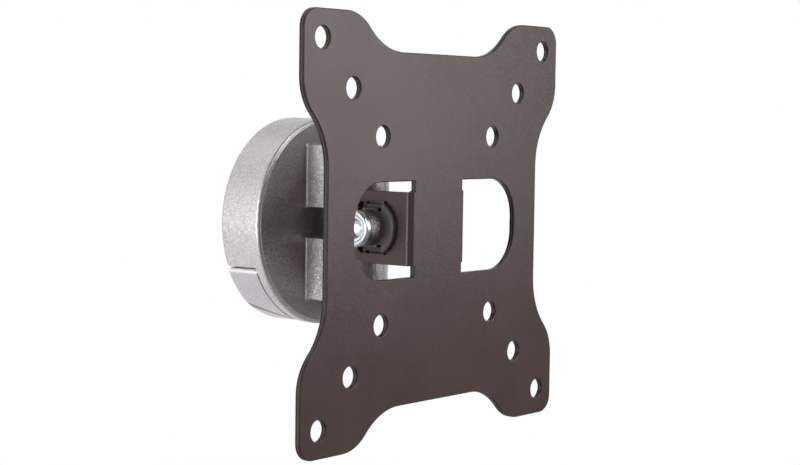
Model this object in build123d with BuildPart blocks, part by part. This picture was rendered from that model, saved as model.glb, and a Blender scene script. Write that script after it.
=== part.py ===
"""Monitor wall mount with a tilting and swivelling screen plate.

Millimetres, +Z up. The origin is the centre of the face that lies on the wall.
The wall is on the +Y side and the screen is on the -Y side, so a plane at
"out" millimetres from the wall is Plane.XZ.offset(out).
"""
from build123d import *
from math import acos, atan, cos, degrees, pi, radians, sin, sqrt, tan
import os

os.makedirs("parts", exist_ok=True)

# clearances
RUN = 0.05              # radial play of a bolt in a bore that turns on it
SLIP = 0.15             # radial play of a fixed bolt, bush or key in its hole
COVER_TOP_GAP = 0.2     # housing to the top edges of the bottom cover
COVER_FRONT_GAP = 0.12  # housing to the front edge of the bottom cover
WALL_GAP = 0.2          # the bottom cover stays this far off the wall
PLATE_IN_HOUSING = 0.3  # wall plate rim to the housing's inside
LIP_GAP = 0.3           # the cover's lips to the wall plate inside and the housing outside them
EAR_TO_BARREL = 0.3     # the ears' round noses to the link's barrel
BUSH_TO_SHEET = 3.2     # tilt bush rim to the back of the screen plate

# tilt bolt, M6, and what is threaded on it
TILT_R = 3.0
TILT_HEAD_R = 5.0
TILT_HEAD_H = 6.1
TILT_KEY = 5.0          # hexagon key size of the socket
TILT_KEY_DEPTH = 3.2
DISH_R = 3.9            # shallow dish round the socket
DISH_DEPTH = 0.45
HEAD_EDGE = 0.7         # round on the rim of the head
TILT_TAIL = 1.0         # thread beyond the nut
TILT_NUT_AF = 10.0
TILT_NUT_H = 4.0
NUT_ROUND = 0.4         # corners turned off this far outside the flats
TILT_WASHER_R = 6.0
TILT_WASHER_T = 1.0
TILT_SPRING_R = 5.8
TILT_SPRING_T = 0.5
TILT_SPRING_H = 1.0

# keyed bushes in the tabs
BUSH_FLANGE = 1.9
BUSH_BOSS = 1.1         # height of the boss under the bolt head
HUB_WALL = 1.55
BUSH_EDGE = 0.55
BUSH_SIDE = 4.155       # width of the flange beside the slots
BUSH_FLAT = 0.65        # the flats of the flange lie this far inside the slots' ends
BUSH_LIP = 0.25         # left of the flange round the slots
BUSH_FRAME = 1.0        # height of that lip
KEY_W = 5.2             # key and snap finger width
FINGER_TO_HEAD = 0.35   # the finger ends this far outside the bolt head
KEY_SHOWN = 1.05        # the key reaches this far beyond the finger
SLOT_SIDE = 1.45        # slots beside the finger
SLOT_PAST = 0.5         # they run this far past the height of the bolt head
SLOT_END = 0.7          # slot beyond the key, also through the tab

# link
BARREL_R = 7.0
BARREL_LEN = 20.0
RING_T = 1.0            # friction ring thickness
TONGUE_T = 7.2
TONGUE_WALL = 3.0       # round the bushes
NECK_FILLET = 1.5

# swivel bolt, M8, and what is threaded on it
SWIVEL_R = 4.0
SWIVEL_HEAD_R = 6.5
SWIVEL_HEAD_H = 5.0
SWIVEL_KEY = 5.0
SWIVEL_KEY_DEPTH = 3.0
SWIVEL_HEAD_UP = 0.5    # the head stands this far out of its recess in the upper ear
RECESS_PLAY = 0.25      # radial play of the washer in the recess
SWIVEL_TAIL = 1.0
SWIVEL_NUT_AF = 13.0
SWIVEL_NUT_H = 8.0
SWIVEL_WASHER_R = 8.0
SWIVEL_WASHER_T = 1.6
SWIVEL_SPRING_R = 7.5
SWIVEL_SPRING_T = 0.7
SWIVEL_SPRING_H = 1.3
SLEEVE_T = 1.0          # wall of the flanged bushes
SLEEVE_FLANGE = 0.8
SLEEVE_SPLIT = 0.6      # gap between the two bushes inside the tongue

# round base and its ears
BASE_R = 29.6
BASE_DEPTH = 13.85
BASE_WALL = 3.0
BASE_FACE_WALL = 3.0
BASE_EDGE = 0.9
FACE_RISE = 0.2         # the face stands this far out of the rounded rim
EAR_WALL = 2.12         # beyond the corners of the nut's pocket
EAR_H = 17.6
EAR_EDGE = 0.5
EAR_ROOT = 0.6          # fillet where the ears meet the face
TONGUE_TO_FACE = 1.55   # round end of the link's tongue to the base's face

# bottom cover of the base
COVER_TOP = -12.6       # height of its two top edges
COVER_STEP = 0.5        # its opening ends this far behind the inside of the base's face
COVER_PROUD = 0.5       # stands out from the base at the wall
PROUD_FRONT = 0.1       # and at its front edge
COVER_T = 2.7
GRIP_DEPTH = 0.9        # finger recess, a flatter round at the bottom
GRIP_HEIGHT = 7.1       # the recess begins this far above the cover's bottom, at the wall
GRIP_SLOPE = 23.5       # degrees, the recess edge drops towards the front
COVER_EDGE = 1.1
LIP_H = 1.0             # lips on the cover's top edges, in a rebate of the housing
LIP_T = 1.15
LIP_ROOT = 2.0          # the lips reach this far down inside the cover
REBATE_EDGE = 1.1       # round on the housing's edges over the cover
CLIP_T = 1.4            # upright clips inside the housing
CLIP_SIDE = 0.55        # clip to the wall plate and to the cover's front edge
CLIP_UP = 6.0
CLIP_DOWN = 6.0
CLIP_PLAY = 0.35        # clip to the inside of the housing wall

# wall plate and its three wall screw holes
PLATE_T = 5.4
WALL_PCD = 34.0
WALL_HOLE_R = 2.6
WALL_CSK_R = 5.0
GROOVE_DEPTH = 1.5      # groove in the rim for the set screw, as wide again each side

# top set screw, M4
SET_R = 2.0
SET_SUNK = 1.5
SET_KEY = 2.0
SET_KEY_DEPTH = 1.3
SET_POINT = 1.4         # length of its cone point, at the groove's slope
SET_SEAT = 0.05         # play of the point in the groove

# lock screw, M4, under the bottom cover
LOCK_R = 2.0
LOCK_HEAD_R = 3.5
LOCK_HEAD_H = 2.4
LOCK_KEY = 2.5
LOCK_KEY_DEPTH = 1.5
LOCK_BITE = 6.0         # thread in the wall plate's block
LOCK_BLIND = 1.0        # block beyond the screw's end
LOCK_TO_COVER = 1.5     # head to the inside of the cover
LOCK_TO_FACE = 0.95     # head to the inside of the base's face
LUG_T = 2.5
LUG_W = 14.0
LUG_BACK = 2.0
BLOCK_GAP = 0.3         # lug to the wall plate's block
BLOCK_W = 12.0
BLOCK_TO_FACE = 0.65    # block to the inside of the base's face
NOTCH_PLAY = 0.5        # lug in the wall plate's notch

# screen plate
SHEET = 1.5
PITCH_WIDE = 100.0      # three square patterns of screw holes
PITCH_MIDDLE = 75.0
PITCH_NARROW = 50.0
HOLE_R = 2.9
LOBE_MARGIN = 7.35      # plate beyond the widest holes
WAIST_DEPTH = 9.95
WAIST_FLAT = 33.2       # straight length in each waist
WAIST_R = 19.6
LOBE_R = 13.5
CORNER_R = 5.0
BEND_R = 0.3            # inside radius of the folds
TAB_MARGIN = 1.8        # tab edge beyond the bush rim
TAB_CORNER = 8.0
RELIEF = 3.0            # punched gap round the unfolded tab
PUNCH_EDGE = 0.2        # broken edge on the front

# derived radii
slot_x = KEY_W / 2 + SLOT_SIDE
slot_start = TILT_HEAD_R - SLOT_PAST
finger_end = TILT_HEAD_R + FINGER_TO_HEAD
key_reach = finger_end + KEY_SHOWN
slot_end = key_reach + SLOT_END
bush_r = slot_x + BUSH_SIDE
hub_r = TILT_R + SLIP + HUB_WALL
sleeve_r = SWIVEL_R + RUN + SLEEVE_T
tongue_r = sleeve_r + SLIP + TONGUE_WALL
ear_r = (SWIVEL_NUT_AF / 2 + SLIP) / cos(radians(30)) + EAR_WALL

# derived places along Y, all measured out from the wall
swivel_out = BASE_DEPTH + TONGUE_TO_FACE + tongue_r
centres = ear_r + BARREL_R + EAR_TO_BARREL
tilt_out = swivel_out + centres
plate_back = tilt_out + bush_r + BUSH_TO_SHEET
plate_front = plate_back + SHEET

# derived places along X, on the tilt bolt
tab_in = BARREL_LEN / 2 + RING_T
tab_out = tab_in + SHEET
boss_start = tab_out + BUSH_FLANGE
bush_face = boss_start + BUSH_BOSS
washer_face = bush_face + TILT_WASHER_T
spring_face = washer_face + TILT_SPRING_H
nut_face = spring_face + TILT_NUT_H
tail_end = nut_face + TILT_TAIL

# derived places along Z, on the swivel bolt
ear_gap = TONGUE_T + 2 * SLEEVE_FLANGE
ear_low = ear_gap / 2
ear_top = ear_low + EAR_H
sw_head_base = ear_top + SWIVEL_HEAD_UP - SWIVEL_HEAD_H
sw_washer_top = sw_head_base - SWIVEL_SPRING_H
recess_floor = sw_washer_top - SWIVEL_WASHER_T

# derived sizes of the folded tabs
bend_out_r = BEND_R + SHEET
bend_start = tab_out - bend_out_r
tab_half = bush_r + TAB_MARGIN
tab_end = tilt_out - tab_half
fold_length = (BEND_R + SHEET / 2) * pi / 2
tab_flat = plate_front - bend_out_r - tab_end
cut_half = tab_half + RELIEF
cut_outer = bend_start + fold_length + tab_flat + RELIEF
cut_corner = TAB_CORNER + RELIEF

# outline of the screen plate, one eighth: waist, inside arc, outside arc
half = PITCH_WIDE / 2 + LOBE_MARGIN
waist = half - WAIST_DEPTH
swing = acos(1 - WAIST_DEPTH / (WAIST_R + LOBE_R))
turn_x = WAIST_FLAT / 2 + WAIST_R * sin(swing)
turn_y = waist + WAIST_R * (1 - cos(swing))
mid_x = WAIST_FLAT / 2 + WAIST_R * sin(swing / 2)
mid_y = waist + WAIST_R * (1 - cos(swing / 2))
lobe_x = WAIST_FLAT / 2 + (WAIST_R + LOBE_R) * sin(swing)
lobe_mx = lobe_x - LOBE_R * sin(swing / 2)
lobe_my = half - LOBE_R * (1 - cos(swing / 2))

# derived sizes of the base
inside_r = BASE_R - BASE_WALL
cavity = BASE_DEPTH - BASE_FACE_WALL
opening_out = cavity - COVER_STEP
cover_front = opening_out - COVER_FRONT_GAP
cover_r = BASE_R + COVER_PROUD
wall_plate_r = inside_r - PLATE_IN_HOUSING
lug_z = LOCK_TO_COVER + LOCK_HEAD_H - (cover_r - COVER_T)
lug_top = lug_z + LUG_T
lock_out = cavity - LOCK_TO_FACE - LOCK_HEAD_R
block_low = lug_top + BLOCK_GAP
block_h = LOCK_BITE + LOCK_BLIND
block_front = cavity - BLOCK_TO_FACE
cover_depth = cover_front - WALL_GAP
cover_draft = degrees(atan((COVER_PROUD - PROUD_FRONT) / cover_depth))
grip_z = GRIP_HEIGHT - cover_r
grip_drop = cavity * tan(radians(GRIP_SLOPE))
grip_rise = GRIP_HEIGHT - GRIP_DEPTH
grip_r = (cover_r ** 2 - grip_z ** 2 + grip_rise ** 2) / (2 * grip_rise)
grip_centre = grip_z - grip_rise + grip_r
set_out = PLATE_T / 2
set_tip = wall_plate_r - GROOVE_DEPTH + SET_R - SET_POINT + SET_SEAT
cut_top = COVER_TOP + COVER_TOP_GAP
lip_r = wall_plate_r + LIP_GAP + LIP_T
clip_x = sqrt(inside_r ** 2 - cut_top ** 2) - CLIP_PLAY - CLIP_T / 2
clip_out = (PLATE_T + cover_front) / 2
clip_w = cover_front - PLATE_T - 2 * CLIP_SIDE


def save(piece, name):
    piece.part.label = name
    export_step(piece.part, "parts/" + name + ".step")


# screen plate: a punched sheet with two tongues folded back as hinge tabs
with BuildPart() as screen_plate:
    with BuildSketch(Plane.XZ.offset(plate_back)) as outline:
        with BuildLine():
            Line((0, waist), (WAIST_FLAT / 2, waist))
            ThreePointArc((WAIST_FLAT / 2, waist), (mid_x, mid_y), (turn_x, turn_y))
            ThreePointArc((turn_x, turn_y), (lobe_mx, lobe_my), (lobe_x, half))
            Line((lobe_x, half), (half, half))
            Line((half, half), (half, lobe_x))
            ThreePointArc((half, lobe_x), (lobe_my, lobe_mx), (turn_y, turn_x))
            ThreePointArc((turn_y, turn_x), (mid_y, mid_x), (waist, WAIST_FLAT / 2))
            Line((waist, WAIST_FLAT / 2), (waist, 0))
            mirror(about=Plane.YZ)
            mirror(about=Plane.XZ)
        make_face()
        fillet(outline.vertices().filter_by(
            lambda v: abs(abs(v.X) - half) < 0.01 and abs(abs(v.Y) - half) < 0.01), CORNER_R)
        for pitch in (PITCH_WIDE, PITCH_MIDDLE, PITCH_NARROW):
            with GridLocations(pitch, pitch, 2, 2):
                Circle(HOLE_R, mode=Mode.SUBTRACT)
    extrude(amount=SHEET)
    # broken punching edge round the outline and the screw holes, on the front
    front_face = screen_plate.faces().sort_by(Axis.Y)[0]
    chamfer(front_face.edges(), length=PUNCH_EDGE)
    # the D openings that the tongues are punched from
    with BuildSketch(Plane.XZ.offset(plate_back)) as openings:
        with Locations(((bend_start + cut_outer) / 2, 0)):
            Rectangle(cut_outer - bend_start, 2 * cut_half)
        fillet(openings.vertices().sort_by(Axis.X)[-2:], cut_corner)
        mirror(about=Plane.YZ)
    extrude(amount=SHEET, mode=Mode.SUBTRACT)
    rims = screen_plate.edges().filter_by(
        lambda e: abs(e.center().Y + plate_front) < 0.01
        and bend_start + SHEET < abs(e.center().X) < cut_outer + 0.1 and abs(e.center().Z) < cut_half + 0.1)
    chamfer(rims, length=PUNCH_EDGE)
    # one tongue in section, folded back and rounded at its end
    with BuildSketch(Plane.XY.offset(-tab_half)):
        with BuildLine():
            Line((bend_start - SHEET, -plate_front), (bend_start, -plate_front))
            RadiusArc((bend_start, -plate_front), (tab_out, -plate_front + bend_out_r), -bend_out_r)
            Line((tab_out, -plate_front + bend_out_r), (tab_out, -tab_end))
            Line((tab_out, -tab_end), (tab_in, -tab_end))
            Line((tab_in, -tab_end), (tab_in, -plate_back + BEND_R))
            RadiusArc((tab_in, -plate_back + BEND_R), (bend_start, -plate_back), BEND_R)
            Line((bend_start, -plate_back), (bend_start - SHEET, -plate_back))
            Line((bend_start - SHEET, -plate_back), (bend_start - SHEET, -plate_front))
        make_face()
    extrude(amount=2 * tab_half)
    tips = screen_plate.edges().filter_by(Axis.X).filter_by(
        lambda e: abs(e.center().Y + tab_end) < 0.01 and e.center().X > 0)
    fillet(tips, TAB_CORNER)
    with BuildSketch(Plane.YZ.offset(tab_in)):
        with Locations((-tilt_out, 0)):
            Circle(hub_r + SLIP)
            Rectangle(KEY_W + 2 * SLIP, 2 * slot_end)
    extrude(amount=SHEET, mode=Mode.SUBTRACT)
    # the other tongue
    split(bisect_by=Plane.YZ, keep=Keep.TOP)
    mirror(about=Plane.YZ)
save(screen_plate, "screen_plate")


# keyed plastic bushes: flange with two flats, boss for the bolt head, hub with two keys,
# and two short fingers freed by slots, where the keys show in the tab
with BuildPart() as tilt_bush_right:
    with BuildSketch(Plane.YZ.offset(tab_out)):
        with Locations((-tilt_out, 0)):
            Circle(bush_r)
            Rectangle(2 * bush_r, 2 * (slot_end - BUSH_FLAT), mode=Mode.INTERSECT)
    extrude(amount=BUSH_FLANGE)
    fillet(tilt_bush_right.edges().filter_by(GeomType.CIRCLE).group_by(Axis.X)[-1], BUSH_EDGE)
    with BuildSketch(Plane.YZ.offset(tab_out)):
        with Locations((-tilt_out, 0)):
            Rectangle(2 * (slot_x + BUSH_LIP), 2 * (slot_end + BUSH_LIP))
    extrude(amount=BUSH_FRAME)
    with BuildSketch(Plane.YZ.offset(boss_start)):
        with Locations((-tilt_out, 0)):
            Circle(TILT_HEAD_R)
    extrude(amount=BUSH_BOSS)
    with BuildSketch(Plane.YZ.offset(tab_in)):
        with Locations((-tilt_out, 0)):
            Circle(hub_r)
            Rectangle(KEY_W, 2 * key_reach)
    extrude(amount=SHEET)
    with BuildSketch(Plane.YZ.offset(tab_in)):
        with Locations((-tilt_out, 0)):
            Circle(TILT_R + SLIP)
    extrude(amount=bush_face - tab_in, mode=Mode.SUBTRACT)
    with BuildSketch(Plane.YZ.offset(tab_out)):
        for side in (-1, 1):
            with Locations((-tilt_out, side * (finger_end + slot_end) / 2)):
                Rectangle(2 * slot_x, slot_end - finger_end)
            for end in (-1, 1):
                with Locations((-tilt_out + end * (KEY_W + SLOT_SIDE) / 2,
                                side * (slot_start + slot_end) / 2)):
                    Rectangle(SLOT_SIDE, slot_end - slot_start)
    extrude(amount=BUSH_FLANGE, mode=Mode.SUBTRACT)
save(tilt_bush_right, "tilt_bush_right")

with BuildPart() as tilt_bush_left:
    add(tilt_bush_right.part)
    mirror(about=Plane.YZ, mode=Mode.REPLACE)
save(tilt_bush_left, "tilt_bush_left")


# friction rings between the tabs and the link's barrel
for name, start in (("friction_ring_right", BARREL_LEN / 2), ("friction_ring_left", -tab_in)):
    with BuildPart() as ring:
        with BuildSketch(Plane.YZ.offset(start)):
            with Locations((-tilt_out, 0)):
                Circle(BARREL_R)
                Circle(TILT_R + SLIP, mode=Mode.SUBTRACT)
        extrude(amount=RING_T)
    save(ring, name)


# tilt bolt: socket cap screw, its head on the left bush
with BuildPart() as tilt_bolt:
    with BuildSketch(Plane.YZ.offset(-bush_face)):
        with Locations((-tilt_out, 0)):
            Circle(TILT_HEAD_R)
    extrude(amount=-TILT_HEAD_H)
    fillet(tilt_bolt.edges().sort_by(Axis.X)[0], HEAD_EDGE)
    with BuildSketch(Plane.YZ.offset(-bush_face - TILT_HEAD_H)):
        with Locations((-tilt_out, 0)):
            RegularPolygon(TILT_KEY / 2, 6, major_radius=False)
    extrude(amount=TILT_KEY_DEPTH, mode=Mode.SUBTRACT)
    with BuildSketch(Plane.YZ.offset(-bush_face - TILT_HEAD_H)):
        with Locations((-tilt_out, 0)):
            Circle(DISH_R)
    extrude(amount=DISH_DEPTH, taper=45, mode=Mode.SUBTRACT)
    with BuildSketch(Plane.YZ.offset(-bush_face)):
        with Locations((-tilt_out, 0)):
            Circle(TILT_R)
    extrude(amount=bush_face + tail_end)
    chamfer(tilt_bolt.edges().sort_by(Axis.X)[-1], length=TILT_TAIL / 2)
save(tilt_bolt, "tilt_bolt")

with BuildPart() as tilt_washer:
    with BuildSketch(Plane.YZ.offset(bush_face)):
        with Locations((-tilt_out, 0)):
            Circle(TILT_WASHER_R)
            Circle(TILT_R + SLIP, mode=Mode.SUBTRACT)
    extrude(amount=TILT_WASHER_T)
save(tilt_washer, "tilt_washer")

# disc spring: a shallow cone, its section turned about the bolt axis
with BuildPart() as tilt_disc_spring:
    with BuildSketch(Plane.XY):
        with BuildLine():
            Polyline(
                (washer_face, -tilt_out + TILT_SPRING_R),
                (washer_face + TILT_SPRING_T, -tilt_out + TILT_SPRING_R),
                (spring_face, -tilt_out + TILT_R + SLIP),
                (spring_face - TILT_SPRING_T, -tilt_out + TILT_R + SLIP),
                close=True)
        make_face()
    revolve(axis=Axis((0, -tilt_out, 0), (1, 0, 0)))
save(tilt_disc_spring, "tilt_disc_spring")

with BuildPart() as tilt_nut:
    with BuildSketch(Plane.YZ.offset(spring_face)):
        with Locations((-tilt_out, 0)):
            RegularPolygon(TILT_NUT_AF / 2, 6, major_radius=False, rotation=30)
            Circle(TILT_R + SLIP, mode=Mode.SUBTRACT)
    extrude(amount=TILT_NUT_H)
    with BuildSketch(Plane.YZ.offset(spring_face)):
        with Locations((-tilt_out, 0)):
            Circle(TILT_NUT_AF / 2 + NUT_ROUND)
    extrude(amount=TILT_NUT_H, mode=Mode.INTERSECT)
save(tilt_nut, "tilt_nut")


# link: barrel on the tilt bolt, tongue on the swivel bolt
with BuildPart() as swivel_link:
    with BuildSketch(Plane.XY.offset(-TONGUE_T / 2)):
        with Locations((0, -swivel_out)):
            Circle(tongue_r)
        with Locations((0, -(swivel_out + tilt_out) / 2)):
            Rectangle(2 * tongue_r, centres)
    extrude(amount=TONGUE_T)
    with BuildSketch(Plane.YZ.offset(-BARREL_LEN / 2)):
        with Locations((-tilt_out, 0)):
            Circle(BARREL_R)
    extrude(amount=BARREL_LEN)
    with BuildSketch(Plane.YZ.offset(-BARREL_LEN / 2)):
        with Locations((-tilt_out, 0)):
            Circle(TILT_R + RUN)
    extrude(amount=BARREL_LEN, mode=Mode.SUBTRACT)
    with BuildSketch(Plane.XY.offset(-TONGUE_T / 2)):
        with Locations((0, -swivel_out)):
            Circle(sleeve_r + SLIP)
    extrude(amount=TONGUE_T, mode=Mode.SUBTRACT)
    roots = swivel_link.edges().filter_by(Axis.X).filter_by(
        lambda e: abs(abs(e.center().Z) - TONGUE_T / 2) < 0.01 and e.center().Y > -tilt_out)
    fillet(roots, NECK_FILLET)
save(swivel_link, "swivel_link")

# flanged bushes in the tongue
sleeve_len = (TONGUE_T - SLEEVE_SPLIT) / 2
for name, side in (("swivel_bush_upper", 1), ("swivel_bush_lower", -1)):
    with BuildPart() as sleeve:
        with BuildSketch(Plane.XY.offset(side * TONGUE_T / 2)):
            with Locations((0, -swivel_out)):
                Circle(tongue_r)
        extrude(amount=side * SLEEVE_FLANGE)
        with BuildSketch(Plane.XY.offset(side * TONGUE_T / 2)):
            with Locations((0, -swivel_out)):
                Circle(sleeve_r)
        extrude(amount=-side * sleeve_len)
        with BuildSketch(Plane.XY.offset(side * ear_low)):
            with Locations((0, -swivel_out)):
                Circle(SWIVEL_R + RUN)
        extrude(amount=-side * (sleeve_len + SLEEVE_FLANGE), mode=Mode.SUBTRACT)
    save(sleeve, name)


# swivel bolt: low head in the upper ear's recess, tail in the nut
with BuildPart() as swivel_bolt:
    with BuildSketch(Plane.XY.offset(sw_head_base)):
        with Locations((0, -swivel_out)):
            Circle(SWIVEL_HEAD_R)
    extrude(amount=SWIVEL_HEAD_H)
    fillet(swivel_bolt.edges().sort_by(Axis.Z)[-1], HEAD_EDGE)
    with BuildSketch(Plane.XY.offset(sw_head_base + SWIVEL_HEAD_H)):
        with Locations((0, -swivel_out)):
            RegularPolygon(SWIVEL_KEY / 2, 6, major_radius=False)
    extrude(amount=-SWIVEL_KEY_DEPTH, mode=Mode.SUBTRACT)
    with BuildSketch(Plane.XY.offset(sw_head_base)):
        with Locations((0, -swivel_out)):
            Circle(SWIVEL_R)
    extrude(amount=-(sw_head_base + ear_top + SWIVEL_TAIL))
    chamfer(swivel_bolt.edges().sort_by(Axis.Z)[0], length=SWIVEL_TAIL / 2)
save(swivel_bolt, "swivel_bolt")

with BuildPart() as swivel_washer:
    with BuildSketch(Plane.XY.offset(recess_floor)):
        with Locations((0, -swivel_out)):
            Circle(SWIVEL_WASHER_R)
            Circle(SWIVEL_R + SLIP, mode=Mode.SUBTRACT)
    extrude(amount=SWIVEL_WASHER_T)
save(swivel_washer, "swivel_washer")

with BuildPart() as swivel_disc_spring:
    with BuildSketch(Plane.YZ):
        with BuildLine():
            Polyline(
                (-swivel_out + SWIVEL_SPRING_R, sw_washer_top),
                (-swivel_out + SWIVEL_SPRING_R, sw_washer_top + SWIVEL_SPRING_T),
                (-swivel_out + SWIVEL_R + SLIP, sw_head_base),
                (-swivel_out + SWIVEL_R + SLIP, sw_head_base - SWIVEL_SPRING_T),
                close=True)
        make_face()
    revolve(axis=Axis((0, -swivel_out, 0), (0, 0, 1)))
save(swivel_disc_spring, "swivel_disc_spring")

with BuildPart() as swivel_nut:
    with BuildSketch(Plane.XY.offset(-ear_top)):
        with Locations((0, -swivel_out)):
            RegularPolygon(SWIVEL_NUT_AF / 2, 6, major_radius=False)
            Circle(SWIVEL_R + SLIP, mode=Mode.SUBTRACT)
    extrude(amount=SWIVEL_NUT_H)
save(swivel_nut, "swivel_nut")


# round base: a cast cup, open towards the wall, with two ears on its face
with BuildPart() as base_housing:
    with BuildSketch(Plane.XZ):
        Circle(BASE_R)
    extrude(amount=BASE_DEPTH - FACE_RISE)
    fillet(base_housing.edges().sort_by(Axis.Y)[0], BASE_EDGE)
    with BuildSketch(Plane.XZ):
        Circle(BASE_R - BASE_EDGE)
    extrude(amount=BASE_DEPTH)
    with BuildSketch(Plane.XZ):
        Circle(inside_r)
    extrude(amount=cavity, mode=Mode.SUBTRACT)
    # opening for the bottom cover
    with BuildSketch(Plane.XZ):
        with Locations((0, (cut_top - 2 * BASE_R) / 2)):
            Rectangle(3 * BASE_R, cut_top + 2 * BASE_R)
    extrude(amount=opening_out, mode=Mode.SUBTRACT)
    over_cover = base_housing.edges().filter_by(Axis.Y).filter_by(
        lambda e: abs(e.center().Z - cut_top) < 0.01 and abs(e.center().X) > inside_r - 1)
    fillet(over_cover, REBATE_EDGE)
    # rebate for the cover's lips
    with BuildSketch(Plane.XZ):
        Circle(lip_r + LIP_GAP)
        with Locations((0, COVER_TOP)):
            Rectangle(4 * BASE_R, 2 * (LIP_H + COVER_TOP_GAP), mode=Mode.INTERSECT)
    extrude(amount=opening_out, mode=Mode.SUBTRACT)
    # lug for the lock screw
    with BuildSketch(Plane.XZ.offset(LUG_BACK)):
        with Locations((0, lug_z + LUG_T / 2)):
            Rectangle(LUG_W, LUG_T)
    extrude(amount=cavity - LUG_BACK)
    with BuildSketch(Plane.XY.offset(lug_z)):
        with Locations((0, -lock_out)):
            Circle(LOCK_R + SLIP)
    extrude(amount=LUG_T, mode=Mode.SUBTRACT)
    # ears, each with the bore for the swivel bolt
    for side in (1, -1):
        with BuildSketch(Plane.XY.offset(side * ear_low)):
            with Locations((0, -swivel_out)):
                Circle(ear_r)
            with Locations((0, -(swivel_out + BASE_DEPTH - BASE_EDGE) / 2)):
                Rectangle(2 * ear_r, swivel_out - BASE_DEPTH + BASE_EDGE)
        extrude(amount=side * EAR_H)
    fillet(base_housing.edges().filter_by(
        lambda e: abs(abs(e.center().Z) - ear_top) < 0.01 and e.center().Y < -BASE_DEPTH - 0.01), EAR_EDGE)
    fillet(base_housing.edges().filter_by(
        lambda e: abs(e.center().Y + BASE_DEPTH) < 0.01 and e.geom_type == GeomType.LINE), EAR_ROOT)
    with BuildSketch(Plane.XY.offset(-ear_top)):
        with Locations((0, -swivel_out)):
            Circle(SWIVEL_R + SLIP)
    extrude(amount=2 * ear_top, mode=Mode.SUBTRACT)
    # recess for the bolt's head, spring and washer
    with BuildSketch(Plane.XY.offset(recess_floor)):
        with Locations((0, -swivel_out)):
            Circle(SWIVEL_WASHER_R + RECESS_PLAY)
    extrude(amount=ear_top - recess_floor, mode=Mode.SUBTRACT)
    # pocket that keeps the nut from turning
    with BuildSketch(Plane.XY.offset(-ear_top)):
        with Locations((0, -swivel_out)):
            RegularPolygon(SWIVEL_NUT_AF / 2 + SLIP, 6, major_radius=False)
    extrude(amount=SWIVEL_NUT_H, mode=Mode.SUBTRACT)
    # hole for the set screw, through the top of the rim
    with BuildSketch(Plane.XY.offset(wall_plate_r)):
        with Locations((0, -set_out)):
            Circle(SET_R + SLIP)
    extrude(amount=BASE_R, mode=Mode.SUBTRACT)
save(base_housing, "base_housing")


# bottom cover: the lower wall of the base, with a finger recess and two clips
with BuildPart() as bottom_cover:
    # full round above a line that drops towards the front, and a flatter round below it
    with BuildSketch(Plane.YZ.offset(-2 * BASE_R)):
        with BuildLine():
            Polyline(
                (0, grip_z),
                (-cavity, grip_z - grip_drop),
                (-cavity, BASE_R),
                (0, BASE_R),
                close=True)
        make_face()
    extrude(amount=4 * BASE_R)
    with BuildSketch(Plane.XZ):
        with Locations((0, grip_centre)):
            Circle(grip_r)
    extrude(amount=cavity)
    with BuildSketch(Plane.XZ.offset(WALL_GAP)):
        Circle(cover_r)
    extrude(amount=cover_depth, taper=cover_draft, mode=Mode.INTERSECT)
    with BuildSketch(Plane.XZ):
        Circle(cover_r - COVER_T)
        with Locations((0, COVER_TOP + 2 * BASE_R)):
            Rectangle(4 * BASE_R, 4 * BASE_R)
    extrude(amount=cavity, mode=Mode.SUBTRACT)
    top_outer = bottom_cover.edges().filter_by(
        lambda e: abs(e.center().Z - COVER_TOP) < 0.01
        and abs(e.center().X) > sqrt((BASE_R + PROUD_FRONT) ** 2 - COVER_TOP ** 2) - 0.01)
    fillet(top_outer, COVER_EDGE)
    # lips along its two top edges
    with BuildSketch(Plane.XZ.offset(WALL_GAP)):
        Circle(lip_r)
        Circle(lip_r - LIP_T, mode=Mode.SUBTRACT)
        with Locations((0, COVER_TOP + (LIP_H - LIP_ROOT) / 2)):
            Rectangle(4 * BASE_R, LIP_H + LIP_ROOT, mode=Mode.INTERSECT)
    extrude(amount=cover_depth)
    # clips, upright behind the housing's wall
    for side in (-1, 1):
        with BuildSketch(Plane.XY.offset(COVER_TOP - CLIP_DOWN)):
            with Locations((side * clip_x, -clip_out)):
                Rectangle(CLIP_T, clip_w)
        extrude(amount=CLIP_DOWN + CLIP_UP)
save(bottom_cover, "bottom_cover")


# wall plate: a cast disc with three countersunk holes and a block for the lock screw
with BuildPart() as wall_plate:
    with BuildSketch(Plane.XZ):
        Circle(wall_plate_r)
    extrude(amount=PLATE_T)
    with BuildSketch(Plane.XY):
        with BuildLine():
            Polyline(
                (wall_plate_r + GROOVE_DEPTH, -set_out - 2 * GROOVE_DEPTH),
                (wall_plate_r + GROOVE_DEPTH, -set_out + 2 * GROOVE_DEPTH),
                (wall_plate_r - GROOVE_DEPTH, -set_out),
                close=True)
        make_face()
    revolve(axis=Axis.Y, mode=Mode.SUBTRACT)
    # notch for the housing's lug
    with BuildSketch(Plane.XZ):
        with Locations((0, block_low - wall_plate_r)):
            Rectangle(LUG_W + 2 * NOTCH_PLAY, 2 * wall_plate_r)
    extrude(amount=PLATE_T, mode=Mode.SUBTRACT)
    with BuildSketch(Plane.XZ):
        with Locations((0, block_low + block_h / 2)):
            Rectangle(BLOCK_W, block_h)
    extrude(amount=block_front)
    with BuildSketch(Plane.XY.offset(block_low)):
        with Locations((0, -lock_out)):
            Circle(LOCK_R + RUN)
    extrude(amount=LOCK_BITE + LOCK_BLIND / 2, mode=Mode.SUBTRACT)
    with Locations(Plane.XZ.offset(PLATE_T)):
        with PolarLocations(WALL_PCD / 2, 3, start_angle=90):
            CounterSinkHole(WALL_HOLE_R, WALL_CSK_R, depth=PLATE_T)
save(wall_plate, "wall_plate")


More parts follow.
